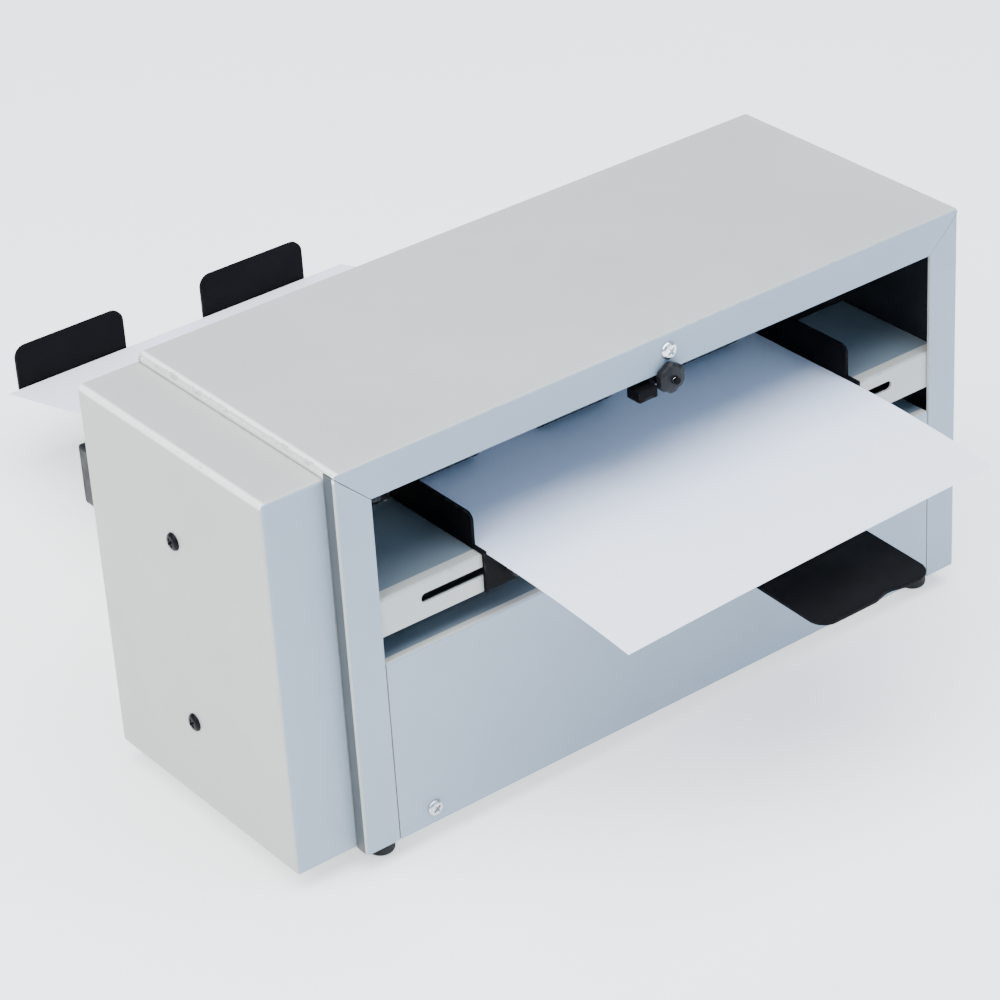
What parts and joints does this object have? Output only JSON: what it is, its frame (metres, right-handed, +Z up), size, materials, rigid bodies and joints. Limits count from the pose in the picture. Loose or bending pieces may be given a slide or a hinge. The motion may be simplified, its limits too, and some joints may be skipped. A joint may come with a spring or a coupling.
{
  "type": "desktop sheet feeding and slitting machine",
  "caption": "Desktop mailroom machine that draws card sheets through rollers and knives onto a rear catch tray, in a painted steel housing with side guides.",
  "frame": {"origin": "under the middle of the whole machine with its catch tray and sheets, on the surface that the rubber feet stand on", "axes": "+X along the housing towards its right end, +Y from the feed opening towards the rear, +Z up"},
  "size_m": [0.3894, 0.5288, 0.2027],
  "materials": {
    "housing_paint": "fine satin putty grey paint",
    "cover_paint": "fine satin putty grey paint",
    "table_paint": "satin slate grey paint",
    "black_steel": "satin black powder coat",
    "bright_steel": "ground steel",
    "chrome": "polished",
    "zinc_plate": "dull zinc plate",
    "black_plastic": "fine matt texture",
    "gear_nylon": "natural nylon",
    "rubber": "matt",
    "card_stock": "smooth uncoated card"
  },
  "bodies": {
    "housing": {"base_pan": "housing_paint", "cover_post_lower": "zinc_plate", "cover_post_upper": "zinc_plate", "drive_belt": "rubber", "end_cover": "cover_paint", "end_cover_screw_lower": "black_steel", "end_cover_screw_upper": "black_steel", "fascia_screw": "chrome", "feed_table": "table_paint", "foot_front_left": "rubber", "foot_front_right": "rubber", "foot_rear_left": "rubber", "foot_rear_right": "rubber", "frame_plate_left": "zinc_plate", "frame_plate_right": "zinc_plate", "front_panel": "housing_paint", "front_panel_screw_left": "bright_steel", "front_panel_screw_right": "bright_steel", "lever_bracket": "black_steel", "mains_inlet": "black_plastic", "motor_body": "zinc_plate", "motor_capacitor": "black_plastic", "rear_panel": "housing_paint", "side_panel_left": "housing_paint", "side_panel_right": "housing_paint", "side_panel_screw_lower": "bright_steel", "side_panel_screw_upper": "bright_steel", "switch_frame": "black_plastic", "tie_rod_front": "zinc_plate", "tie_rod_rear": "zinc_plate", "tie_rod_upper": "zinc_plate", "top_cover": "housing_paint", "tray_bracket": "black_steel"},
    "left_guide": {"guide_left": "black_steel"},
    "left_guide_knob": {"guide_left_knob": "black_plastic"},
    "right_guide": {"guide_right": "black_steel"},
    "right_guide_knob": {"guide_right_knob": "black_plastic"},
    "lever": {"hold_down_lever": "black_steel"},
    "lever_knob": {"hold_down_knob": "black_plastic"},
    "motor_rotor": {"motor_shaft": "bright_steel"},
    "idler": {"idler_shaft": "bright_steel", "idler_gear": "gear_nylon"},
    "middle_feed": {"middle_feed_shaft": "bright_steel", "middle_feed_gear": "gear_nylon"},
    "upper_feed": {"upper_feed_shaft": "bright_steel", "upper_feed_gear": "gear_nylon"},
    "lower_feed": {"lower_feed_shaft": "bright_steel", "lower_feed_gear": "gear_nylon"},
    "middle_knife": {"middle_knife_shaft": "bright_steel", "middle_knife_gear": "gear_nylon"},
    "upper_knife": {"upper_knife_shaft": "bright_steel", "upper_knife_gear": "gear_nylon"},
    "lower_knife": {"lower_knife_shaft": "bright_steel", "lower_knife_gear": "gear_nylon"},
    "rocker": {"switch_rocker": "black_plastic"},
    "left_finger": {"rear_finger_left": "black_steel"},
    "right_finger": {"rear_finger_right": "black_steel"},
    "catch_plate": {"front_catch_plate": "black_steel"},
    "fed_stock": {"feed_sheet": "card_stock"},
    "caught_stock": {"caught_sheet": "card_stock"}
  },
  "joints": [
    {"name": "left_guide_slide", "type": "slide", "parent": "housing", "child": "left_guide", "axis": [1, 0, 0], "range_m": [-0.032, 0]},
    {"name": "left_guide_knob_turn", "type": "hinge", "parent": "left_guide", "child": "left_guide_knob", "pos_m": [-0.07275, -0.1589, 0.1251], "axis": [0, 1, 0], "continuous": true},
    {"name": "right_guide_slide", "type": "slide", "parent": "housing", "child": "right_guide", "axis": [1, 0, 0], "range_m": [0, 0.028]},
    {"name": "right_guide_knob_turn", "type": "hinge", "parent": "right_guide", "child": "right_guide_knob", "pos_m": [0.11575, -0.1589, 0.1251], "axis": [0, 1, 0], "continuous": true},
    {"name": "lever_swing", "type": "hinge", "parent": "housing", "child": "lever", "pos_m": [0.01625, -0.1589, 0.1825], "axis": [0, 1, 0], "range_deg": [-80, 5]},
    {"name": "lever_knob_turn", "type": "hinge", "parent": "housing", "child": "lever_knob", "pos_m": [0.01625, -0.1589, 0.1825], "axis": [0, 1, 0], "continuous": true},
    {"name": "motor_spin", "type": "hinge", "parent": "housing", "child": "motor_rotor", "pos_m": [-0.16125, -0.1029, 0.0445], "axis": [1, 0, 0], "continuous": true},
    {"name": "idler_spin", "type": "hinge", "parent": "housing", "child": "idler", "pos_m": [-0.16125, -0.0594, 0.12095], "axis": [1, 0, 0], "continuous": true},
    {"name": "middle_feed_spin", "type": "hinge", "parent": "housing", "child": "middle_feed", "pos_m": [-0.16125, -0.0854, 0.12095], "axis": [1, 0, 0], "continuous": true},
    {"name": "upper_feed_spin", "type": "hinge", "parent": "housing", "child": "upper_feed", "pos_m": [-0.16125, -0.0854, 0.14695], "axis": [1, 0, 0], "continuous": true},
    {"name": "lower_feed_spin", "type": "hinge", "parent": "housing", "child": "lower_feed", "pos_m": [-0.16125, -0.0854, 0.09495], "axis": [1, 0, 0], "continuous": true},
    {"name": "middle_knife_spin", "type": "hinge", "parent": "housing", "child": "middle_knife", "pos_m": [-0.16125, -0.0334, 0.12095], "axis": [1, 0, 0], "continuous": true},
    {"name": "upper_knife_spin", "type": "hinge", "parent": "housing", "child": "upper_knife", "pos_m": [-0.16125, -0.0334, 0.14695], "axis": [1, 0, 0], "continuous": true},
    {"name": "lower_knife_spin", "type": "hinge", "parent": "housing", "child": "lower_knife", "pos_m": [-0.16125, -0.0334, 0.09495], "axis": [1, 0, 0], "continuous": true},
    {"name": "rocker_tilt", "type": "hinge", "parent": "housing", "child": "rocker", "pos_m": [-0.18045, -0.0129, 0.0935], "axis": [1, 0, 0], "range_deg": [0, 14]},
    {"name": "left_finger_slide", "type": "slide", "parent": "housing", "child": "left_finger", "axis": [0, 0.9713, -0.238], "range_m": [0, 0.02]},
    {"name": "right_finger_slide", "type": "slide", "parent": "housing", "child": "right_finger", "axis": [0, 0.9713, -0.238], "range_m": [0, 0.02]},
    {"name": "catch_plate_slide", "type": "slide", "parent": "housing", "child": "catch_plate", "axis": [1, 0, 0], "range_m": [-0.1, 0.07]},
    {"name": "feed_sheet_slide", "type": "slide", "parent": "housing", "child": "fed_stock", "axis": [0, -1, 0], "range_m": [0, 0.2]},
    {"name": "caught_sheet_shift", "type": "slide", "parent": "housing", "child": "caught_stock", "axis": [1, 0, 0], "range_m": [-0.06, 0.06]}
  ],
  "couplings": [
    {"joint": "motor_spin", "follows": "middle_feed_spin", "ratio": -2},
    {"joint": "idler_spin", "follows": "middle_feed_spin", "ratio": -1},
    {"joint": "upper_feed_spin", "follows": "middle_feed_spin", "ratio": -1},
    {"joint": "lower_feed_spin", "follows": "middle_feed_spin", "ratio": -1},
    {"joint": "middle_knife_spin", "follows": "middle_feed_spin", "ratio": 1},
    {"joint": "upper_knife_spin", "follows": "middle_feed_spin", "ratio": -1},
    {"joint": "lower_knife_spin", "follows": "middle_feed_spin", "ratio": -1}
  ]
}
